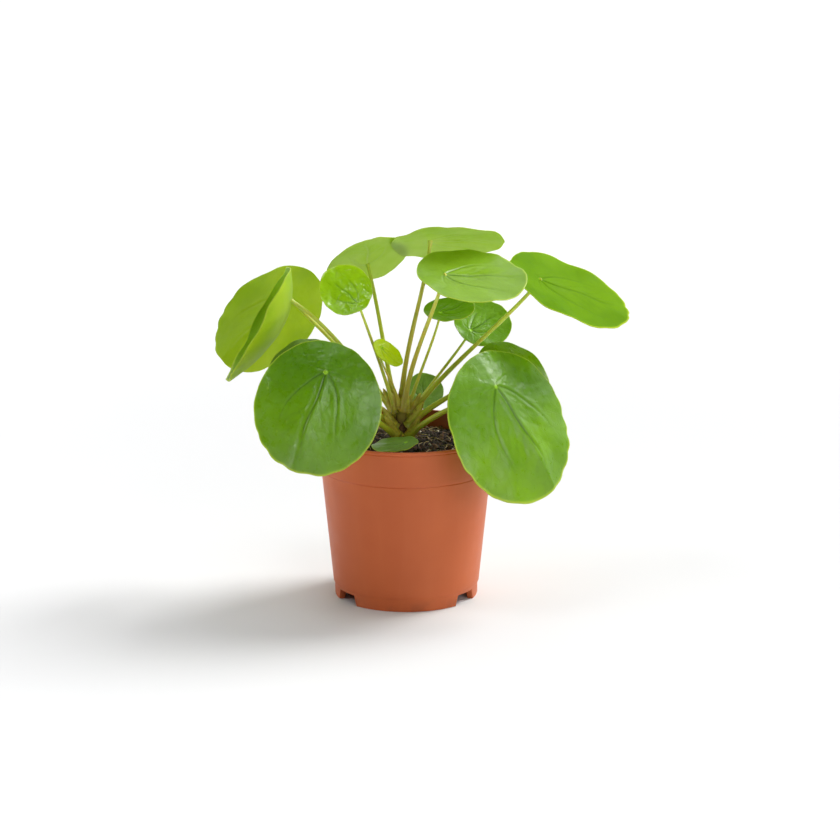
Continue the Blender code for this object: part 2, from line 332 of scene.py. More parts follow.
def fine_sheet(sheet, shares, spoke_count):
    """The blade's middle sheet at the given shares of the way from navel to margin."""
    angles = np.arange(spoke_count) / spoke_count * tau
    rings = [round_curve(ring, angles) for ring in sheet]
    margin = rings[-1]
    rise = np.array([ring[:, 2] for ring in rings])
    known = np.array([np.hypot(ring[:, 0], ring[:, 1]).mean() for ring in rings])
    known = np.concatenate([[0.0], known / known[-1]])
    rise = np.vstack([np.zeros(spoke_count), rise])
    out = []
    for share in shares:
        k = min(max(np.searchsorted(known, share) - 1, 0), len(known) - 3)
        x0, x1, x2 = known[k:k + 3]
        height = (rise[k] * (share - x1) * (share - x2) / ((x0 - x1) * (x0 - x2))
                  + rise[k + 1] * (share - x0) * (share - x2) / ((x1 - x0) * (x1 - x2))
                  + rise[k + 2] * (share - x0) * (share - x1) / ((x2 - x0) * (x2 - x1)))
        out.append(np.column_stack([margin[:, 0] * share, margin[:, 1] * share, height]))
    return np.array(out)


# %% [markdown]
# ## Veins
# A pilea blade has one main vein towards its far end and a pair that bow out beside it, and short
# ones towards the near end. They sink a little into the upper face and stand out below. One
# function gives the depth of the nearest vein and the swelling beside it. The shape reads both, and
# the finish reads the depth.

# %% Vein pattern
VEINS = (                       # direction at the navel, how far it bows, reach, strength
    (0.0, 0.0, 0.96, 1.0),
    (1.75, -1.25, 0.88, 0.65),
    (-1.75, 1.25, 0.88, 0.65),
    (2.6, -0.7, 0.55, 0.22),
    (-2.6, 0.7, 0.55, 0.22),
)
BRANCHES = (0.22, 0.42, 0.62)   # where side veins leave the main one, as shares of its length
BRANCH_STRENGTH = 0.22
SWELL_AT = 0.0026               # how far from a vein the flesh swells most
SWELL_WIDTH = 0.0018


def vein_paths(turn, share, size, shift):
    """Gap in metres from each vein, with how strong the vein is there."""
    sway = 0.06 * np.sin(9.0 * share + shift)
    for heading, bow, reach, strength in VEINS:
        path = heading + bow * share ** 0.6 + sway
        gap = np.angle(np.exp(1j * (turn - path))) * share * size
        fade = np.clip((reach - share) / 0.4, 0.0, 1.0) * np.clip(share / 0.04, 0.0, 1.0)
        yield gap, strength * fade
    for number, start in enumerate(BRANCHES):
        for way in (1, -1):
            begin = start + 0.05 * way * ((number % 2) - 0.5)
            run = np.clip((share - begin) / (1.0 - begin), 0.0, 1.0)
            path = way * (0.95 - 0.25 * number) * run ** 0.75 + sway
            gap = np.angle(np.exp(1j * (turn - path))) * share * size
            fade = np.clip(run / 0.05, 0.0, 1.0) * np.clip((0.85 - run) / 0.5, 0.0, 1.0)
            yield gap, BRANCH_STRENGTH * fade


def vein_shape(turn, share, size, shift):
    """How deep in a vein each point lies, and how much the flesh swells beside it, from 0 to 1."""
    depth, swell = np.zeros_like(turn), np.zeros_like(turn)
    width = (0.00075 - 0.00035 * share) * (0.55 + size / 0.09)
    for gap, strength in vein_paths(turn, share, size, shift):
        depth = np.maximum(depth, strength * np.exp(-(gap / width) ** 2))
        swell = np.maximum(swell, strength * np.exp(-((np.abs(gap) - SWELL_AT) / SWELL_WIDTH) ** 2))
    return depth, swell


# %% [markdown]
# ## Blade finishes
# The upper face is a saturated green with a soft waxy sheen, the lower face is paler and duller.
# Light passes through a blade, so both let some of it through. The depth of the veins comes with
# the mesh. On the upper face the finish darkens the veins by that depth, which is painted shade in
# the sunken veins; below, the veins are paler, their own colour. Noise on Object coordinates gives
# the slow change of green across the plant.

# %% Blade finishes
def blade_finish(name, deep, fresh, vein, glow, gloss, wax, shine, through):
    look = Finish(name, Roughness=gloss, IOR=1.45, Specular_IOR_Level=shine,
                  Coat_Weight=wax, Coat_Roughness=0.42, Coat_IOR=1.35)
    where = look.place()
    flat = look.attribute("flat", "Vector")
    reach = look.attribute("reach")
    share = look.attribute("share")
    depth = look.attribute("vein")
    patch = look.noise(where, 26.0, 3.0)
    colour = look.mix(look.band(patch, 0.35, 0.68), deep, fresh)
    mottle = look.noise(flat, 210.0, 5.0, 0.65)
    colour = look.mix(look.band(mottle, 0.42, 0.72, 0.0, 0.3), colour, fresh)
    colour = look.mix(look.band(mottle, 0.3, 0.45, 0.3, 0.0), colour, deep)
    # On upper faces the vein green is darker than the flesh: painted shade in the sunken veins. On lower
    # faces it is paler, the veins' own colour.
    colour = look.mix(look.times(depth, 0.72), colour, vein)
    warp = look.node("ShaderNodeTexNoise", {"Vector": flat, "Scale": 90.0}).outputs["Color"]
    bent = look.node("ShaderNodeMix", {"Factor": 0.012, 4: flat, 5: warp}, data_type="VECTOR").outputs[1]
    cells = look.cells(bent, 150.0, "DISTANCE_TO_EDGE")
    net = look.band(cells, 0.0, 0.09, 1.0, 0.0)
    # The fine net between the veins takes the same vein green: on upper faces, painted shade in its small
    # creases.
    colour = look.mix(look.times(net, 0.12), colour, vein)
    # A thin pale yellow-green margin: partly the margin's own paler colour, partly a painted highlight
    # where light catches the edge.
    margin_and_edge_highlight = look.band(share, 0.972, 0.995)
    colour = look.mix(look.times(margin_and_edge_highlight, 0.8), colour, (0.5, 0.62, 0.04))
    navel = look.band(reach, 0.0009, 0.0019, 1.0, 0.0)
    colour = look.mix(navel, colour, (0.36, 0.66, 0.03))
    speck = look.band(look.cells(flat, 55.0, "F1"), 0.035, 0.07, 0.5, 0.0)
    colour = look.mix(speck, colour, (0.34, 0.52, 0.06))
    look.set("Base Color", colour)
    look.set("Roughness", look.band(mottle, 0.3, 0.7, gloss - 0.06, gloss + 0.08))
    relief = look.math("ADD", look.times(mottle, 0.7),
                       look.times(look.math("SUBTRACT", 1.0, net), 0.35))
    grain = look.bump(look.noise(flat, 1400.0, 2.0), 0.00003, 0.5)
    look.bump(relief, 0.00028, 0.6, grain)
    warm = look.mix(look.times(depth, 0.4), glow, vein)
    light = look.node("ShaderNodeBsdfTranslucent", {"Color": warm})
    both = look.node("ShaderNodeMixShader",
                     {"Fac": through, 1: look.shader.outputs[0], 2: light.outputs[0]})
    look.feed(look.nodes["Material Output"].inputs["Surface"], both.outputs[0])
    return look.material


GLOW = (0.5, 0.74, 0.003)
BLADE_LOOKS = {                 # deep, fresh and vein greens, glow, gloss, wax, shine, light let through
    "upper": ((0.064, 0.2, 0.0006), (0.105, 0.28, 0.001), (0.012, 0.06, 0.001),
              GLOW, 0.3, 0.0, 0.75, 0.3),
    # A lighter copy of the upper green for the front right blade: painted light.
    "upper_painted_sunlit": ((0.09, 0.25, 0.0006), (0.15, 0.35, 0.001), (0.02, 0.085, 0.001),
                    GLOW, 0.32, 0.0, 0.65, 0.3),
    # A paler, yellower copy for the upper middle blade: painted sheen, on top of the real shine and wax it
    # also has.
    "upper_pale_painted_sheen": ((0.15, 0.305, 0.003), (0.205, 0.38, 0.008), (0.045, 0.155, 0.004),
                   GLOW, 0.4, 0.3, 0.7, 0.3),
    # A copy with little shine for the right blade, its green darkened because the main light strikes it
    # full on: the low shine is the finish, the darker green is painted shade.
    "upper_calm_painted_shade": ((0.085, 0.215, 0.001), (0.125, 0.275, 0.002), (0.03, 0.11, 0.002),
                   GLOW, 0.4, 0.0, 0.02, 0.26),
    "upper_shade": ((0.075, 0.2, 0.001), (0.115, 0.26, 0.003), (0.03, 0.11, 0.002),
                    GLOW, 0.42, 0.0, 0.25, 0.2),
    # A lightened copy for the small blades behind the others, which sit in shadow: painted light against
    # that shadow.
    "upper_painted_fill": ((0.12, 0.29, 0.004), (0.17, 0.36, 0.01), (0.035, 0.12, 0.002),
                   (0.32, 0.55, 0.01), 0.33, 0.0, 0.45, 0.22),
    # A grey-green copy, lightened, for the blades low down and behind: the grey is painted dull sheen and
    # the lightening is painted light against the shade they sit in.
    "upper_painted_grey_sheen": ((0.14, 0.26, 0.035), (0.19, 0.33, 0.055), (0.06, 0.14, 0.012),
                   (0.28, 0.48, 0.02), 0.4, 0.2, 0.5, 0.2),
    "upper_young": ((0.5, 0.7, 0.004), (0.62, 0.8, 0.008), (0.26, 0.44, 0.002),
                    (0.95, 1.0, 0.01), 0.3, 0.0, 0.5, 0.45),
    "upper_glossy": ((0.25, 0.52, 0.0015), (0.34, 0.62, 0.004), (0.09, 0.28, 0.002),
                     (0.6, 0.8, 0.003), 0.15, 0.3, 0.9, 0.3),
    "lower": ((0.34, 0.56, 0.004), (0.58, 0.76, 0.02), (0.66, 0.8, 0.1),
              (0.88, 0.96, 0.002), 0.5, 0.0, 0.7, 0.55),
    "lower_pale": ((0.33, 0.56, 0.02), (0.64, 0.8, 0.2), (0.7, 0.84, 0.26),
                   (0.84, 0.96, 0.04), 0.5, 0.0, 0.7, 0.55),
}
blade_looks = {name: blade_finish("blade_" + name, *values) for name, values in BLADE_LOOKS.items()}
# Several blades get their own copy of the upper green, set one by one for how much light each gets:
# painted light and shade. The young blade and the glossy blade have their own colour.
UPPER_BY_BLADE = {
    "leaf_small_behind": "upper_painted_fill", "leaf_round_middle": "upper_painted_fill",
    "leaf_behind_stem": "upper_painted_grey_sheen", "leaf_low_front": "upper_painted_grey_sheen",
    "leaf_behind_front_left": "upper_painted_grey_sheen", "leaf_youngest": "upper_young",
    "leaf_small_glossy": "upper_glossy", "leaf_folded_left": "upper_shade",
    "leaf_upper_middle": "upper_pale_painted_sheen", "leaf_right": "upper_calm_painted_shade", "leaf_front_right": "upper_painted_sunlit",
}
LOWER_BY_BLADE = {"leaf_upper_back": "lower_pale", "leaf_top": "lower_pale"}


# %% [markdown]
# ## Blades
# Each blade becomes a fine grid of two sheets on the same middle sheet. The margin is cut with
# shallow scallops, always inwards. Veins press into the upper face, and slow waves of the flesh
# between them stop the sheet from looking moulded. Both halves fall away from the main vein, most on
# the two large front blades, which so catch the light in two halves.

# %% Blades
BLADE_WALL = 0.00085
SINK, STAND, SWELL = 0.0006, 0.0005, 0.00035    # veins above, veins below, flesh beside them
QUILT = 0.00032
QUILT_BY_BLADE = {"leaf_small_glossy": 0.0014, "leaf_front_left": 0.0006, "leaf_front_right": 0.0006}
VEIN_TURN = {"leaf_front_left": -0.22}
FOLD = 0.07                     # how steeply the halves fall at the main vein
FOLD_REACH = 0.022              # how far out they level off
FOLD_BY_BLADE = {"leaf_front_left": 0.24, "leaf_front_right": 0.18, "leaf_back_left": 0.12,
                 "leaf_upper_back": 0.1, "leaf_top": 0.05}
SHARES = np.concatenate([[0.012, 0.03, 0.055], np.linspace(0.085, 0.96, 34), [0.98, 0.992, 1.0]])


def blade_mesh(name, seed):
    navel, (along, side, upper), sheet = sheets[name]
    size = float(np.ptp(sheet[-1][:, 0])) / 2
    spokes = 180 if size > 0.025 else 96
    grid = fine_sheet(sheet, SHARES, spokes)
    reach = np.hypot(grid[..., 0], grid[..., 1])
    turn = np.tile(np.arange(spokes) / spokes * tau, (len(SHARES), 1))
    share = np.tile(SHARES[:, None], (1, spokes))
    rng = np.random.default_rng(seed)
    shift = rng.uniform(0, tau, 5)
    teeth = max(11, int(19 * size / 0.045))
    notch = 0.5 + 0.5 * np.cos(teeth * turn + 1.4 * np.sin(3 * turn + shift[0]))
    cut = 1.0 - (0.01 + 0.007 * np.sin(2 * turn + shift[1])) * notch ** 1.6 * share ** 8
    grid[..., :2] *= cut[..., None]
    ripple = 0.016 * np.sin(5 * turn + shift[2]) + 0.012 * np.sin(9 * turn + shift[3])
    wave = size * share ** 3 * ripple
    quilt = np.array([[noise.fractal(Vector((float(p[0]), float(p[1]), seed * 0.37)) * 85.0, 0.9, 2.1, 4)
                       for p in row] for row in grid])
    deep = QUILT_BY_BLADE.get(name, QUILT)
    veins = turn - VEIN_TURN.get(name, 0.0)
    depth, swell = vein_shape(veins, share, size, shift[4])
    across = np.where(np.cos(veins) > 0.0, np.abs(reach * np.sin(veins)), reach)
    ridge = -FOLD_BY_BLADE.get(name, FOLD) * FOLD_REACH * (1.0 - np.exp(-across / FOLD_REACH))
    grid[..., 2] += ridge + wave + deep * quilt * np.clip(share * 4, 0, 1)
    wall = BLADE_WALL * (1.0 - 0.35 * share ** 4)
    top, under = grid.copy(), grid.copy()
    top[..., 2] += wall / 2 - SINK * depth + SWELL * swell
    under[..., 2] -= wall / 2 + STAND * depth - SWELL * swell
    basis = np.array([along, side, upper])
    dimple = np.array([[0.0, 0.0, BLADE_WALL / 2]])
    boss = np.array([[0.0, 0.0, -BLADE_WALL / 2]])
    rows = [dimple, *top, *under[::-1], boss]
    world = [row @ basis + np.array(navel) for row in rows]
    slots = [0] * len(SHARES) + [0] + [1] * len(SHARES)
    mesh = skin(name + "_fine", world, slots)
    for label, table in (("share", share), ("vein", depth), ("reach", reach)):
        flat = [[0.0], *table, *table[::-1], [0.0]]
        put(mesh, label, np.concatenate([np.atleast_1d(row) for row in flat]))
    flat = np.concatenate([grid.reshape(-1, 3), grid[::-1].reshape(-1, 3)]) * [1, 1, 0]
    place = np.array([0.31 * seed, 0.17 * seed, 0.0])
    put(mesh, "flat", np.vstack([[0, 0, 0], flat, [0, 0, 0]]) + place)
    return mesh


blade_triangles = 0
for number, name in enumerate(blade_nodes):
    blade = link(name.replace("leaf_", "blade_"), blade_mesh(name, number + 1),
                 blade_looks[UPPER_BY_BLADE.get(name, "upper")],
                 blade_looks[LOWER_BY_BLADE.get(name, "lower")])
    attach(blade, "root")
    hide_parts(name)
    blade_triangles += triangles(blade.data)
print("blade triangles", blade_triangles)

# %% [markdown]
# ## Stalks
# A stalk is a round, slightly grooved rod that swells into a sheath where it clasps the stem and
# spreads a little where it meets the blade. The plain stalk's rings, taken in order along it, give
# the line and the thickness to follow.

# %% Stalk reader
PLAIN_SIDES = 8


def stalk_line(node):
    """Middle and radius of each ring of a plain stalk, from the stem to the blade."""
    bm = merged(node)
    points = np.array([v.co for v in bm.verts])
    bm.free()
    middle = points.mean(0)
    direction = np.linalg.svd(points - middle, full_matrices=False)[2][0]
    order = np.argsort((points - middle) @ direction)
    rings = points[order].reshape(-1, PLAIN_SIDES, 3)
    line = rings.mean(1)
    radii = norm(rings - line[:, None], axis=2).mean(1)
    if radii[0] < radii[-1]:
        line, radii = line[::-1], radii[::-1]
    return line, radii


def smooth_line(line, count):
    """A smooth curve through points, at even steps of the index."""
    ends = np.vstack([2 * line[0] - line[1], line, 2 * line[-1] - line[-2]])
    place = np.linspace(0, len(line) - 1, count)
    k = np.minimum(place.astype(int), len(line) - 2)
    t = (place - k)[:, None]
    a, b, c, d = (ends[k + shift] for shift in range(4))
    return cubic(a, b, c, d, t)


def tube_rows(line, radii, sides, groove=0.0, twist=0.0):
    """Rings of points round a line, turned as little as possible, and a pole at each end."""
    ahead = np.gradient(line, axis=0)
    ahead /= norm(ahead, axis=1)[:, None]
    across = np.cross(ahead[0], [0.0, 0.0, 1.0])
    across = across / norm(across) if norm(across) > 1e-6 else np.array([1.0, 0, 0])
    rows = []
    turns = np.arange(sides) / sides * tau
    for k in range(len(line)):
        across = across - ahead[k] * (across @ ahead[k])
        across /= norm(across)
        other = np.cross(ahead[k], across)
        reach = radii[k] * (1.0 - groove * (0.5 + 0.5 * np.cos(turns + twist)) ** 3)
        rows.append(line[k] + np.outer(reach * np.cos(turns), across)
                    + np.outer(reach * np.sin(turns), other))
    return [line[0], *rows, line[-1]]


# %% [markdown]
# ## Stalk finish
# Stalks are yellow-green under the blade and turn olive to brown towards the stem, with fine
# lengthwise streaks. The mesh carries how far along each point is.

# %% Stalk finish
def stalk_finish(name, low, middle, high):
    look = Finish(name, Roughness=0.42, IOR=1.45, Coat_Weight=0.15, Coat_Roughness=0.3,
                  Subsurface_Weight=0.4, Subsurface_Scale=0.002)
    along = look.attribute("along")
    where = look.place()
    drift = look.noise(where, 60.0, 3.0)
    place = look.math("ADD", along, look.times(look.math("SUBTRACT", drift, 0.5), 0.25))
    colour = look.mix(look.band(place, 0.02, 0.3), low, middle)
    colour = look.mix(look.band(place, 0.35, 0.9), colour, high)
    streak_place = look.attribute("streak", "Vector")
    streak = look.noise(streak_place, 6.0, 4.0, 0.6)
    colour = look.mix(look.band(streak, 0.4, 0.7, 0.0, 0.45), colour, low)
    look.set("Base Color", colour)
    look.set("Roughness", look.band(streak, 0.3, 0.7, 0.34, 0.5))
    look.bump(streak, 0.00012, 0.6)
    return look.material


stalk_green = stalk_finish("stalk_green", (0.3, 0.26, 0.02), (0.5, 0.55, 0.035), (0.6, 0.72, 0.08))
stalk_olive = stalk_finish("stalk_olive", (0.32, 0.24, 0.02), (0.52, 0.47, 0.045), (0.58, 0.64, 0.08))
OLIVE_STALKS = ("petiole_upper_middle", "petiole_top", "petiole_youngest")

# %% [markdown]
# Each stalk is drawn a little further than its plain solid at both ends: its foot runs into the stem
# and its tip into the blade. It widens into a sheath at the foot and into a small cuff at the blade.

# %% Stalks
STALK_STEPS = 56
STALK_SIDES = 20
REACH_IN = 0.0022               # how far a stalk's foot runs in under its neighbours


def stalk_piece(name):
    line, radii = stalk_line(name)
    blade = name.replace("petiole_", "leaf_")
    navel, (_, _, upper), _ = sheets[blade]
    foot = line[0] - (line[1] - line[0]) / norm(line[1] - line[0]) * REACH_IN
    meet = np.array(navel - upper * BLADE_WALL * 0.5)
    line = smooth_line(np.vstack([foot, line, meet]), STALK_STEPS)
    thick = np.interp(np.linspace(0, 1, STALK_STEPS), np.linspace(0, 1, len(radii)), radii)
    place = np.linspace(0, 1, STALK_STEPS)
    run = np.concatenate([[0], np.cumsum(norm(np.diff(line, axis=0), axis=1))])
    sheath = 0.35 * np.exp(-run / 0.016)
    clasp = 0.75 * np.exp(-run / 0.0045)
    cuff = 0.55 * np.exp(-(run[-1] - run) / 0.0011)
    thick = thick * (1.02 + sheath + clasp + cuff)
    thick *= 1.0 + 0.025 * np.sin(place * 21 + len(name))
    rows = tube_rows(line, thick, STALK_SIDES, groove=0.1, twist=len(name))
    mesh = skin(name + "_fine", rows)
    along = np.concatenate([[0.0], np.repeat(place, STALK_SIDES), [1.0]])
    put(mesh, "along", along)
    turns = np.arange(STALK_SIDES) / STALK_SIDES * tau
    streak = np.array([[cos(t), sin(t), p * 2.0] for p in place for t in turns])
    put(mesh, "streak", np.vstack([[0, 0, 0], streak, [0, 0, 2.0]]))
    return link(name.replace("petiole_", "stalk_"), mesh,
                stalk_olive if name in OLIVE_STALKS else stalk_green)


for name in stalk_nodes:
    stalk = stalk_piece(name)
    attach(stalk, "root")
    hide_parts(name)
print("stalks", len(stalk_nodes))

# %% [markdown]
# ## Crown scales
# Where a stalk leaves the stem a small pointed scale sits in the angle above it. The scales are
# green and fleshy on the youngest stalks, and together they hide the tip of the stem. Each is a
# tapering tube that starts inside the stalk's foot and leans a little less than the stalk does.

# %% Crown scales
SCALE_SIDES = 14
SCALE_STEPS = 14


def scale_path(name):
    """Middle line and radii of one crown scale, in the angle above a stalk."""
    line, radii = stalk_line(name)
    out = (line[2] - line[0]) / norm(line[2] - line[0])
    lean = out * 0.75 + np.array([0.0, 0.0, 0.65])
    lean /= norm(lean)
    length = 6.5 * radii[0]
    share = np.linspace(0.0, 1.0, SCALE_STEPS)
    path = line[0] + np.outer(share * length, lean) + np.outer(share ** 2 * length * 0.25, out)
    thick = radii[0] * (1.75 - 0.55 * share) * np.sqrt(np.clip(1.0 - share ** 1.6, 0.0, 1.0)) + 0.00008
    return path, thick


def crown_scales():
    for name in stalk_nodes:
        path, thick = scale_path(name)
        yield skin("scale", tube_rows(path, thick, SCALE_SIDES, groove=0.3))


def scale_finish():
    look = Finish("crown_scale", Roughness=0.5, Subsurface_Weight=0.3, Subsurface_Scale=0.002)
    where = look.place()
    drift = look.noise(where, 260.0, 4.0, 0.6)
    colour = look.mix(look.band(drift, 0.38, 0.62), (0.5, 0.46, 0.045), (0.36, 0.28, 0.03))
    rust = look.noise(where, 700.0, 4.0, 0.6)
    colour = look.mix(look.band(rust, 0.6, 0.72, 0.0, 0.6), colour, (0.14, 0.045, 0.012))
    look.set("Base Color", colour)
    look.bump(drift, 0.0003, 0.6)
    return look.material


scales = link("crown_scales", gather("crown_scales", crown_scales()), scale_finish())
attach(scales, "root")
print("crown scale triangles", triangles(scales.data))

# %% [markdown]
# ## Stem
# The stem is short, woody and ringed with the scars of dropped leaves. It is a turned form whose
# radius follows rings and noise, with a brown finish that is green near its growing tip.

# %% Stem
STEM_LEVELS, STEM_SIDES = 90, 48
SCARS = 9
stem_low, stem_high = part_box("main_stem")
stem_x = (stem_low.x + stem_high.x) / 2
stem_y = (stem_low.y + stem_high.y) / 2
stem_radius = (stem_high.x - stem_low.x) / 2


def stem_finish():
    look = Finish("stem_skin", Roughness=0.75)
    where = look.place()
    rough = look.noise(where, 420.0, 6.0, 0.65)
    colour = look.mix(look.band(rough, 0.35, 0.65), (0.045, 0.016, 0.008), (0.19, 0.08, 0.03))
    height = look.up(where)
    tip = look.band(height, stem_high.z - 0.016, stem_high.z - 0.01)
    colour = look.mix(tip, colour, (0.26, 0.2, 0.03))
    look.set("Base Color", colour)
    look.bump(rough, 0.0004, 0.8)
    return look.material


def stem_mesh():
    rows = []
    span = stem_high.z - stem_low.z
    for k in range(STEM_LEVELS + 1):
        share = k / STEM_LEVELS
        z = stem_low.z + span * share
        ring = 0.93 + 0.07 * abs(sin(share * pi * SCARS)) ** 0.6
        dome = sqrt(max(0.02, 1.0 - max(0.0, (share - 0.9) / 0.1) ** 2))
        row = []
        for j in range(STEM_SIDES):
            angle = j / STEM_SIDES * tau
            bump = 0.9 + 0.1 * noise.noise(Vector((cos(angle) * 1.6, sin(angle) * 1.6, z * 480)))
            radius = stem_radius * min(1.0, ring * bump * 1.02) * dome
            row.append((stem_x + radius * cos(angle), stem_y + radius * sin(angle), z))
        rows.append(row)
    return skin("stem_fine", [(stem_x, stem_y, stem_low.z), *rows, (stem_x, stem_y, stem_high.z)])


stem = link("stem", stem_mesh(), stem_finish())
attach(stem, "root")
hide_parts("main_stem")

# %% [markdown]
# ## Pot
# A nursery pot is moulded in one piece: a tapering wall, a taller band with a bead round its lip,
# and a raised floor on feet. Its outline is turned round the axis, and the bottom edge rises
# between the feet by a function of the angle, so the notches need no cutting.

# %% Pot outline
BAND = 24 * MM
STEP = 0.7 * MM
WALL = 1.2 * MM
BEAD = 2.2 * MM
BEAD_OUT = 0.5 * MM
FLOOR = 7.5 * MM                # the underside of the raised floor
FLOOR_TOP = FLOOR + 1.5 * MM
FOOT = 4.0 * MM
base_radius = rim_radius * 0.7917
band_foot = pot_height - BAND
band_top_radius = rim_radius - BEAD_OUT
band_foot_radius = band_top_radius - 2.4 * MM
SPIN = 288
NOTCHES = (-33.75, 33.75, 146.25, 213.75)
NOTCH_HALF = 11.25
NOTCH_UP = 6.8 * MM


def foot_lift(angle):
    """How far the bottom edge is lifted at an angle in degrees."""
    gap = min(abs((angle - notch + 180) % 360 - 180) for notch in NOTCHES)
    rise = min(max((NOTCH_HALF + 1.2 - gap) / 2.4, 0.0), 1.0)
    return NOTCH_UP * rise * rise * (3 - 2 * rise)


def wall_at(height):
    return base_radius + (band_foot_radius - STEP - base_radius) * height / band_foot


def pot_outline():
    """Points of (radius, height, follows the feet) down the outside and up the inside."""
    lip = pot_height
    outer = [(rim_radius - 0.6 * MM, lip), (rim_radius - 0.25 * MM, lip - 0.12 * MM),
             (rim_radius, lip - 0.5 * MM), (rim_radius, lip - BEAD + 0.7 * MM),
             (rim_radius - 0.3 * MM, lip - BEAD + 0.15 * MM),
             (band_top_radius - 0.3 * MM, lip - BEAD - 0.1 * MM),
             (band_top_radius - 0.3 * MM, lip - BEAD - 0.4 * MM),
             (band_top_radius - 0.05 * MM, lip - BEAD - 0.9 * MM)]
    for k in range(1, 9):
        z = lip - BEAD - 0.9 * MM - (BAND - BEAD - 1.6 * MM) * k / 8
        outer.append((band_foot_radius + (band_top_radius - band_foot_radius) * (z - band_foot) / BAND, z))
    outer += [(band_foot_radius - 0.1 * MM, band_foot + 0.2 * MM),
              (band_foot_radius - STEP - 0.3 * MM, band_foot),
              (band_foot_radius - STEP - 0.3 * MM, band_foot - 0.4 * MM),
              (wall_at(band_foot - 1.0 * MM) + 0.1 * MM, band_foot - 1.0 * MM),
              (wall_at(band_foot - 1.8 * MM), band_foot - 1.8 * MM)]
    outer += [(wall_at(z), z) for z in np.linspace(band_foot - 4 * MM, 9.6 * MM, 22)]
    outer += [(wall_at(0.0092) - 0.12 * MM, 0.0092), (wall_at(0.0088) - 0.25 * MM, 0.0088)]
    points = [(r, z, 0.0) for r, z in outer]
    points += [(base_radius + 0.1 * MM, 7.3 * MM, 0.0), (base_radius, 0.7 * MM, 1.0),
               (base_radius - 0.2 * MM, 0.15 * MM, 1.0), (base_radius - 0.6 * MM, 0.0, 1.0),
               (base_radius - FOOT + 0.5 * MM, 0.0, 1.0), (base_radius - FOOT, 0.4 * MM, 1.0),
               (base_radius - FOOT - 0.5 * MM, FLOOR - 0.2 * MM, 0.0),
               (base_radius - FOOT - 1.0 * MM, FLOOR, 0.0)]
    points += [(r, FLOOR, 0.0) for r in np.linspace(0.036, 0.004, 6)]
    inside = [(0.004, FLOOR_TOP), (wall_at(FLOOR) - WALL - 1.0 * MM, FLOOR_TOP),
              (wall_at(FLOOR + 3 * MM) - WALL, FLOOR + 3.0 * MM)]
    inside += [(wall_at(z) - WALL, z) for z in np.linspace(0.02, band_foot - 2 * MM, 8)]
    inside += [(band_foot_radius - WALL, band_foot + 0.5 * MM),
               (band_top_radius - WALL - 0.2 * MM, lip - 3 * MM),
               (rim_radius - BEAD_OUT - WALL, lip - 0.4 * MM),
               (rim_radius - BEAD_OUT - WALL + 0.3 * MM, lip)]
    return points, [(r, z, 0.0) for r, z in inside]


def pot_mesh():
    under, inside = pot_outline()
    angles = np.arange(SPIN) / SPIN * 360.0
    lift = np.array([foot_lift(a) for a in angles])
    turns = np.radians(angles)

    def ring(radius, height, follows):
        z = np.full(SPIN, height)
        if follows:
            z = np.maximum(height, lift + min(height, 0.7 * MM))
        return np.column_stack([axis_x + radius * np.cos(turns), axis_y + radius * np.sin(turns), z])

    rows = [(axis_x, axis_y, FLOOR_TOP), *(ring(*point) for point in inside + under),
            (axis_x, axis_y, FLOOR)]
    slots = [1] * len(inside) + [0] * (len(under) + 1)
    return skin("pot_fine", rows, slots)


# %% [markdown]
# ## Pot finish
# Moulded polypropylene is a warm brick colour with a soft broad shine. Very faint flow marks run
# round it, and its surface has a fine orange-peel texture. Patches of darker brown lie along the
# bottom edge outside and over the inside. The inside is a darker copy of the plastic: painted shade
# in the pot.

# %% Pot
def pot_finish(name, deep, fresh, pale, dark_patch_level):
    look = Finish(name, Roughness=0.46, IOR=1.49, Specular_IOR_Level=0.28)
    where = look.place()
    flow = look.node("ShaderNodeMapping", {"Vector": where, "Scale": (70.0, 70.0, 5.0)}).outputs[0]
    streak = look.noise(flow, 1.0, 4.0, 0.6)
    cloud = look.noise(where, 14.0, 3.0)
    colour = look.mix(look.band(cloud, 0.3, 0.7), deep, fresh)
    colour = look.mix(look.band(streak, 0.4, 0.8, 0.0, 0.22), colour, pale)
    # Patchy darker brown, along the bottom edge outside and over the inside; the same noise varies the
    # roughness.
    blotch = look.noise(where, 60.0, 5.0, 0.6)
    height = look.up(where)
    low = look.band(height, 0.0, 0.01, 0.4, dark_patch_level)
    dark_patches = look.times(look.band(blotch, 0.45, 0.72), low)
    colour = look.mix(dark_patches, colour, (0.16, 0.055, 0.025))
    look.set("Base Color", colour)
    look.set("Roughness", look.band(blotch, 0.3, 0.75, 0.42, 0.52))
    peel = look.noise(where, 900.0, 2.0)
    first = look.bump(peel, 0.00004, 0.3)
    look.bump(streak, 0.00015, 0.12, first)
    return look.material


pot_outside = pot_finish("pot_plastic", (0.455, 0.098, 0.027), (0.5, 0.114, 0.033),
                         (0.56, 0.15, 0.052), 0.0)
# A darker copy of the plastic for the inside: painted shade within the pot.
pot_inside_shaded = pot_finish("pot_plastic_inside_shaded", (0.27, 0.05, 0.016), (0.31, 0.062, 0.02),
                        (0.36, 0.085, 0.03), 0.6)
pot = link("nursery_pot", pot_mesh(), pot_outside, pot_inside_shaded)

# %% [markdown]
# Water drains through round holes in the floor. A ring of short guide solids is cut out with a
# Boolean, because a hole can't be had by turning an outline.

# %% Drain holes
DRAINS = 8
DRAIN_RADIUS = 4.0 * MM
DRAIN_RING = 29.0 * MM


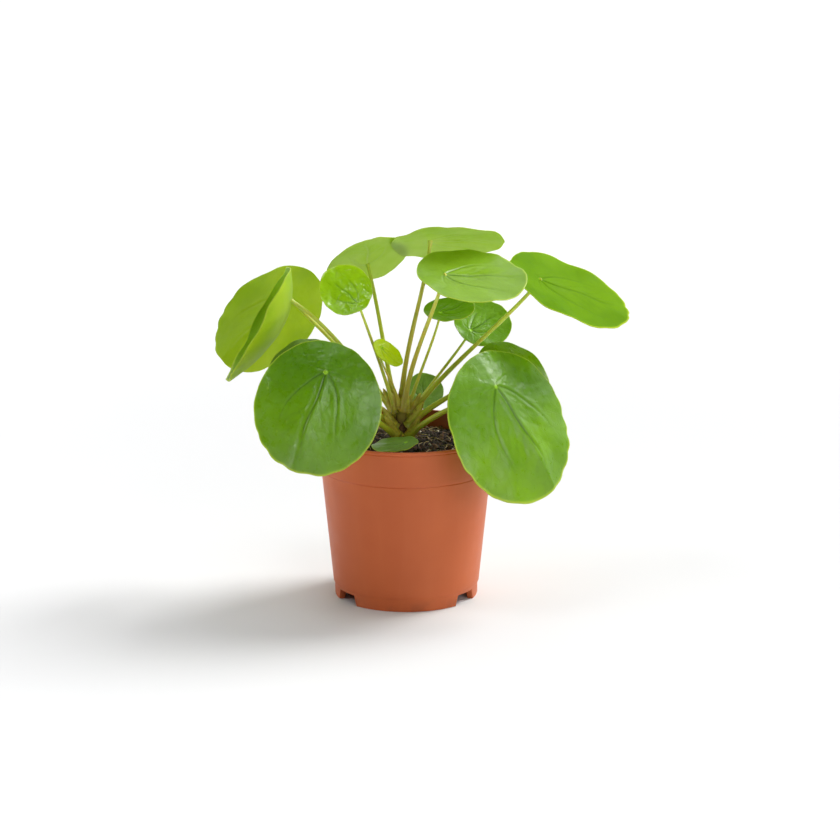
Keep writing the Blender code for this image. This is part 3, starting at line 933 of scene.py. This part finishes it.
def drain_guides():
    bm = bmesh.new()
    for k in range(DRAINS):
        angle = tau * (k + 0.5) / DRAINS
        made = bmesh.ops.create_cone(bm, cap_ends=True, segments=32, radius1=DRAIN_RADIUS,
                                     radius2=DRAIN_RADIUS, depth=8 * MM)
        place = Vector((axis_x + DRAIN_RING * cos(angle), axis_y + DRAIN_RING * sin(angle), FLOOR))
        bmesh.ops.translate(bm, vec=place, verts=made["verts"])
    mesh = bpy.data.meshes.new("drain_guides")
    bm.to_mesh(mesh)
    bm.free()
    return link("drain_guides", mesh)


def apply_modifiers(piece):
    """Turn an object's evaluated shape into its plain mesh."""
    graph = bpy.context.evaluated_depsgraph_get()
    mesh = bpy.data.meshes.new_from_object(piece.evaluated_get(graph))
    piece.modifiers.clear()
    piece.data = mesh


guides = drain_guides()
holes = pot.modifiers.new("holes", "BOOLEAN")
holes.operation = "DIFFERENCE"
holes.object = guides
apply_modifiers(pot)
bpy.data.objects.remove(guides)
pot.data.shade_smooth()
pot.data.set_sharp_from_angle(angle=radians(38))
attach(pot, "root")
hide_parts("pot")
print("pot triangles", triangles(pot.data))

# %% [markdown]
# ## Soil
# The soil is one closed lump under its loose surface. Its top is mounded to the stem and broken up
# by noise of several sizes. The loose crumbs come after it.

# %% Soil body
SOIL_SIDES = 180
soil_low, soil_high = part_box("soil")
soil_edge = (soil_high.x - soil_low.x) / 2
SOIL_WALL_DROP = 4.2 * MM
soil_skin_z = soil_high.z - 1.6 * MM


def soil_height(x, y):
    """Height of the soil's skin at a place measured from the pot's axis."""
    fall = (x * x + y * y) / soil_edge ** 2
    lumps = noise.fractal(Vector((x, y, 0.3)) * 130.0, 0.8, 2.1, 4)
    return soil_skin_z - SOIL_WALL_DROP * fall + 0.0011 * lumps


def soil_finish(name, dark, light, bump):
    look = Finish(name, Roughness=0.93)
    where = look.place()
    grain = look.noise(where, 700.0, 6.0, 0.7)
    clump = look.noise(where, 120.0, 3.0)
    colour = look.mix(look.band(grain, 0.35, 0.7), dark, light)
    colour = look.mix(look.band(clump, 0.4, 0.7, 0.0, 0.5), colour, dark)
    look.set("Base Color", colour)
    look.bump(grain, bump, 0.9)
    return look.material


crumb_dark = soil_finish("soil_dark", (0.006, 0.003, 0.001), (0.042, 0.019, 0.006), 0.0006)
crumb_brown = soil_finish("soil_brown", (0.045, 0.017, 0.006), (0.17, 0.078, 0.027), 0.0004)
perlite_white = soil_finish("perlite", (0.7, 0.63, 0.48), (0.9, 0.86, 0.76), 0.0003)
fibre_pale = soil_finish("root_fibre", (0.45, 0.32, 0.16), (0.72, 0.6, 0.38), 0.0001)


def soil_mesh():
    rings = np.concatenate([np.linspace(0.001, 0.985, 62), [1.0]]) * (soil_edge - 0.2 * MM)
    rows = [(axis_x, axis_y, soil_height(0.0, 0.0))]
    turns = np.arange(SOIL_SIDES) / SOIL_SIDES * tau
    bottom = soil_low.z + 1.5 * MM

    def ring(radius, height):
        spots = [(radius * cos(t), radius * sin(t)) for t in turns]
        return [(axis_x + x, axis_y + y, height(x, y)) for x, y in spots]

    rows += [ring(radius, soil_height) for radius in rings]
    rows.append(ring(wall_at(band_foot) - WALL - 0.5 * MM, lambda x, y: band_foot - 3 * MM))
    rows.append(ring(wall_at(soil_low.z) - WALL - 1.5 * MM, lambda x, y: bottom))
    rows.append((axis_x, axis_y, bottom))
    return skin("soil_fine", rows)


soil = link("soil_lump", soil_mesh(), crumb_dark)
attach(soil, "root")
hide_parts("soil")

# %% [markdown]
# ## Loose crumbs
# Potting mix is thousands of crumbs, a few chips of bark and white grains of perlite. Geometry
# Nodes strew them: points scattered over the soil's skin, one small rough stone on each with its
# own turn and size, made real, and then roughened so that no two are alike.

# %% Strewing tree
STREW_INPUTS = {
    "Density": "Float", "Smallest": "Float", "Largest": "Float", "Flatness": "Float",
    "Stretch": "Float", "Roughen": "Float", "Detail": "Int", "Seed": "Int", "Finish": "Material",
}
TIP = 0.9                       # how far a stone may tip over, in radians


def strew_tree(title):
    tree = bpy.data.node_groups.new(title, "GeometryNodeTree")
    face = tree.interface
    face.new_socket("Geometry", in_out="INPUT", socket_type="NodeSocketGeometry")
    for name, kind in STREW_INPUTS.items():
        face.new_socket(name, in_out="INPUT", socket_type="NodeSocket" + kind)
    face.new_socket("Geometry", in_out="OUTPUT", socket_type="NodeSocketGeometry")
    node = Graph(tree).node
    source = node("NodeGroupInput").outputs
    scatter = node("GeometryNodeDistributePointsOnFaces",
                   {"Mesh": source["Geometry"], "Density": source["Density"], "Seed": source["Seed"]})
    stone = node("GeometryNodeMeshIcoSphere", {"Radius": 1.0, "Subdivisions": source["Detail"]})
    shape = node("ShaderNodeCombineXYZ",
                 {"X": source["Stretch"], "Y": 1.0, "Z": source["Flatness"]})
    squash = node("GeometryNodeTransform",
                  {"Geometry": stone.outputs["Mesh"], "Scale": shape.outputs[0]})
    spin = node("FunctionNodeRandomValue",
                {"Min": (-TIP, -TIP, 0.0), "Max": (TIP, TIP, tau), "Seed": source["Seed"]},
                data_type="FLOAT_VECTOR")
    grow = node("FunctionNodeRandomValue",
                {2: source["Smallest"], 3: source["Largest"], "Seed": source["Seed"]},
                data_type="FLOAT")
    lay = node("GeometryNodeInstanceOnPoints",
               {"Points": scatter.outputs["Points"], "Instance": squash.outputs["Geometry"],
                "Rotation": spin.outputs["Value"], "Scale": grow.outputs[1]})
    real = node("GeometryNodeRealizeInstances", {"Geometry": lay.outputs["Instances"]})
    wobble = node("ShaderNodeTexNoise", {"Scale": 900.0})
    centre = node("ShaderNodeVectorMath", {0: wobble.outputs["Color"], 1: (0.5, 0.5, 0.5)},
                  operation="SUBTRACT")
    strength = node("ShaderNodeVectorMath", {0: centre.outputs[0], "Scale": source["Roughen"]},
                    operation="SCALE")
    move = node("GeometryNodeSetPosition",
                {"Geometry": real.outputs["Geometry"], "Offset": strength.outputs[0]})
    paint = node("GeometryNodeSetMaterial",
                 {"Geometry": move.outputs["Geometry"], "Material": source["Finish"]})
    node("NodeGroupOutput", {"Geometry": paint.outputs["Geometry"]})
    return tree


# %% [markdown]
# The crumbs are strewn on a copy of the soil's skin, which stops short of the wall and of the stem.

# %% Strewing the soil
STREWN_SIDES = 90


def strewn_skin():
    bm = bmesh.new()
    inner, outer = 5.5 * MM, soil_edge - 2.0 * MM
    radii = np.linspace(inner, outer, 30)
    turns = np.arange(STREWN_SIDES) / STREWN_SIDES * tau
    offset = stem_x - axis_x
    rows = []
    for radius in radii:
        pull = offset * (1 - (radius - inner) / (outer - inner))
        rows.append([bm.verts.new((axis_x + pull + radius * cos(t), axis_y + radius * sin(t),
                                   soil_height(pull + radius * cos(t), radius * sin(t))))
                     for t in turns])
    for a, b in zip(rows, rows[1:]):
        for k in range(STREWN_SIDES):
            j = (k + 1) % STREWN_SIDES
            bm.faces.new((a[k], b[k], b[j], a[j]))
    mesh = bpy.data.meshes.new("strewn_skin")
    bm.to_mesh(mesh)
    bm.free()
    return mesh


tree = strew_tree("strew")
inputs = {item.name: item.identifier for item in tree.interface.items_tree
          if item.item_type == "SOCKET" and item.in_out == "INPUT"}


def strew(name, *values):
    """Strew stones over the skin, with the tree's inputs given in their order."""
    piece = link(name, strewn_skin())
    work = piece.modifiers.new("strew", "NODES")
    work.node_group = tree
    for label, value in zip(STREW_INPUTS, values):
        work[inputs[label]] = value
    apply_modifiers(piece)
    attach(piece, "root")
    print(name, "triangles", triangles(piece.data))


strew("soil_crumbs_coarse", 95000.0, 0.0008, 0.0021, 0.7, 1.2, 0.001, 2, 3, crumb_dark)
strew("soil_crumbs_fine", 330000.0, 0.00035, 0.0009, 0.8, 1.1, 0.0005, 1, 5, crumb_brown)
strew("bark_chips", 26000.0, 0.001, 0.0022, 0.35, 1.9, 0.001, 2, 8, crumb_brown)
strew("perlite_grains", 6500.0, 0.0005, 0.0013, 0.85, 1.1, 0.0006, 2, 13, perlite_white)

# %% [markdown]
# ## Root fibres
# A few pale roots and peat fibres lie on the surface. Each is a short thin tube along a curve that
# wanders over the skin, all in one mesh.

# %% Root fibres
FIBRES = 64
FIBRE_SEED = 21
FIBRE_SIDES, FIBRE_STEPS = 6, 12


def fibres():
    rng = np.random.default_rng(FIBRE_SEED)
    for _ in range(FIBRES):
        angle, reach = rng.uniform(0, tau), rng.uniform(0.012, soil_edge - 8 * MM)
        spot = np.array([reach * cos(angle), reach * sin(angle)])
        heading = rng.uniform(0, tau)
        path = []
        rise = rng.uniform(0.6, 1.6) * MM
        for k in range(FIBRE_STEPS):
            lift = rise + 1.2 * MM * sin(pi * k / (FIBRE_STEPS - 1))
            path.append((axis_x + spot[0], axis_y + spot[1], soil_height(*spot) + lift))
            heading += rng.uniform(-0.55, 0.55)
            step = rng.uniform(0.6, 1.3) * MM
            ahead = spot + step * np.array([cos(heading), sin(heading)])
            spot = ahead if np.hypot(*ahead) < soil_edge - 3 * MM else spot * 0.97
        path = np.array(path)
        thick = rng.uniform(0.12, 0.26) * MM * np.sin(np.linspace(0.25, pi - 0.25, FIBRE_STEPS))
        yield skin("fibre", tube_rows(path, thick, FIBRE_SIDES))


roots = link("root_fibres", gather("root_fibres", fibres()), fibre_pale)
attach(roots, "root")
print("fibre triangles", triangles(roots.data))

# %% [markdown]
# ## Floor
# A plain floor runs back into a white sky. It is a light grey near the plant, so that the soft
# shadow shows on it, and turns paler with distance.

# %% Floor
FLOOR_ROWS = 12


def floor_finish():
    look = Finish("floor_white", Roughness=0.7)
    where = look.place()
    cloud = look.noise(where, 3.0, 2.0)
    paint = look.mix(cloud, (0.655, 0.658, 0.662), (0.675, 0.678, 0.682))
    away = look.node("ShaderNodeVectorMath", {0: where}, operation="LENGTH").outputs["Value"]
    look.set("Base Color", look.mix(look.band(away, 0.3, 1.7), paint, (0.92, 0.92, 0.92)))
    return look.material


def floor_mesh():
    mesh = bpy.data.meshes.new("floor")
    points = [(x, y, 0.0) for y in np.linspace(-6.0, 14.0, FLOOR_ROWS) for x in (-10.0, 10.0)]
    faces = [(2 * k, 2 * k + 1, 2 * k + 3, 2 * k + 2) for k in range(FLOOR_ROWS - 1)]
    mesh.from_pydata(points, [], faces)
    mesh.shade_smooth()
    return mesh


floor = link("floor", floor_mesh(), floor_finish())

# %% [markdown]
# ## Lights
# Four soft lights shape the leaves. One fills from the left. A broad low one at the front right is
# what the front leaves mirror as a milky sheen. A strip and a small light high up add the glints.

# %% Lights
def hang(lamp, towards, place=(0.0, 0.0, 0.0)):
    """Put a lamp in the scene, shining in a direction."""
    holder = link(lamp.name, lamp)
    holder.location = place
    holder.rotation_euler = Vector(towards).to_track_quat("-Z", "Y").to_euler()


def soft_light(name, place, aim, size, power):
    lamp = bpy.data.lights.new(name, "AREA")
    lamp.shape = "RECTANGLE"
    lamp.size, lamp.size_y = size
    lamp.energy = power
    hang(lamp, Vector(aim) - Vector(place), place)


soft_light("fill_left", (-1.5, -0.1, 0.42), (0.0, 0.0, 0.1), (0.7, 0.75), 8.0)
soft_light("front_soft", (0.85, -1.37, 0.54), (0.0, -0.05, 0.16), (1.5, 0.66), 11.5)
soft_light("strip_right", (1.02, -0.34, 1.39), (0.06, -0.05, 0.15), (0.45, 0.6), 2.2)
soft_light("top_glint", (-0.45, -0.34, 1.45), (0.0, 0.0, 0.2), (0.5, 0.35), 2.5)

# %% [markdown]
# The main light, from the back right, and the ceiling are suns with a wide angle. A sun is as bright
# on the far floor as on the near one, and its wide angle makes shadows as soft as a large soft box.

# %% Wide suns
def wide_sun(name, towards, strength, spread):
    lamp = bpy.data.lights.new(name, "SUN")
    lamp.energy = strength
    lamp.angle = radians(spread)
    hang(lamp, towards)


wide_sun("key_right", (-0.64, -0.36, -0.65), 3.5, 32.0)
wide_sun("ceiling", (-0.1, -0.1, -1.0), 0.35, 75.0)

# %% [markdown]
# The room is white behind the plant and dimmer in front of it, as in a studio with one lit wall.
# The darker front keeps the leaves saturated, because they mirror it.

# %% Room
world = bpy.data.worlds.new("room")
bpy.context.scene.world = world
world.use_nodes = True
room = Graph(world.node_tree)
heading = room.node("ShaderNodeTexCoord").outputs["Generated"]
ahead = room.node("ShaderNodeSeparateXYZ", {0: heading}).outputs["Y"]
backdrop = room.nodes["Background"].inputs
room.feed(backdrop["Strength"], room.band(ahead, -0.1, 0.6, 0.06, 0.92))
room.feed(backdrop["Color"], (1.0, 1.0, 1.0))
bpy.context.scene.view_settings.view_transform = "Standard"
